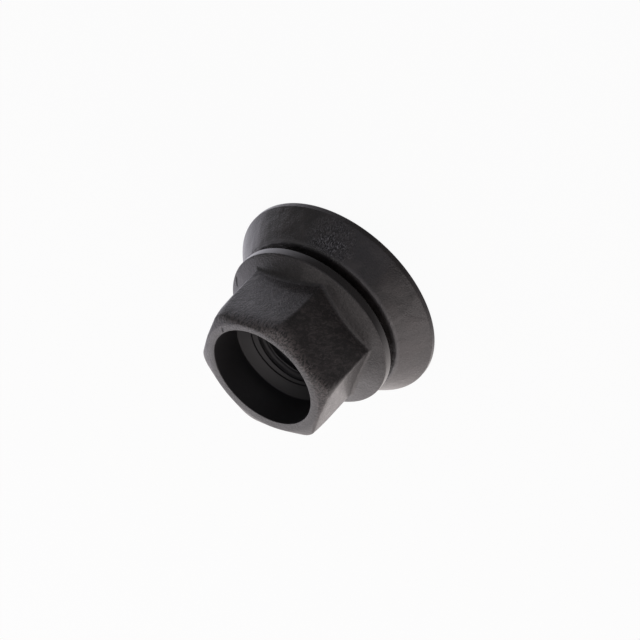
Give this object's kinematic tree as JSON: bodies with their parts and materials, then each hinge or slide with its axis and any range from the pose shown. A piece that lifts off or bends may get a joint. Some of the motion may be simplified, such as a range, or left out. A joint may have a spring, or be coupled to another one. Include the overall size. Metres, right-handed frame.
{
  "type": "sleeved lug nut",
  "caption": "Black hex wheel nut with a counterbored end, a round flange and a threaded sleeve that carries a flared captive washer, which spins freely and bears on the wheel.",
  "frame": {"origin": "centre of the washer's flat bearing face, on the thread's axis", "axes": "+Z along the thread's axis, from the bearing face towards the hexagon's open end; +X through a hexagon corner"},
  "size_m": [0.0368, 0.0368, 0.0213],
  "materials": {
    "nut_steel": "satin black phosphate on forged steel",
    "washer_steel": "satin black phosphate on turned steel"
  },
  "bodies": {
    "nut": {"nut_body": "nut_steel"},
    "washer": {"captive_washer": "washer_steel"}
  },
  "joints": [
    {"name": "washer_spin", "type": "hinge", "parent": "nut", "child": "washer", "pos_m": [0, 0, 0], "axis": [0, 0, 1], "continuous": true}
  ]
}
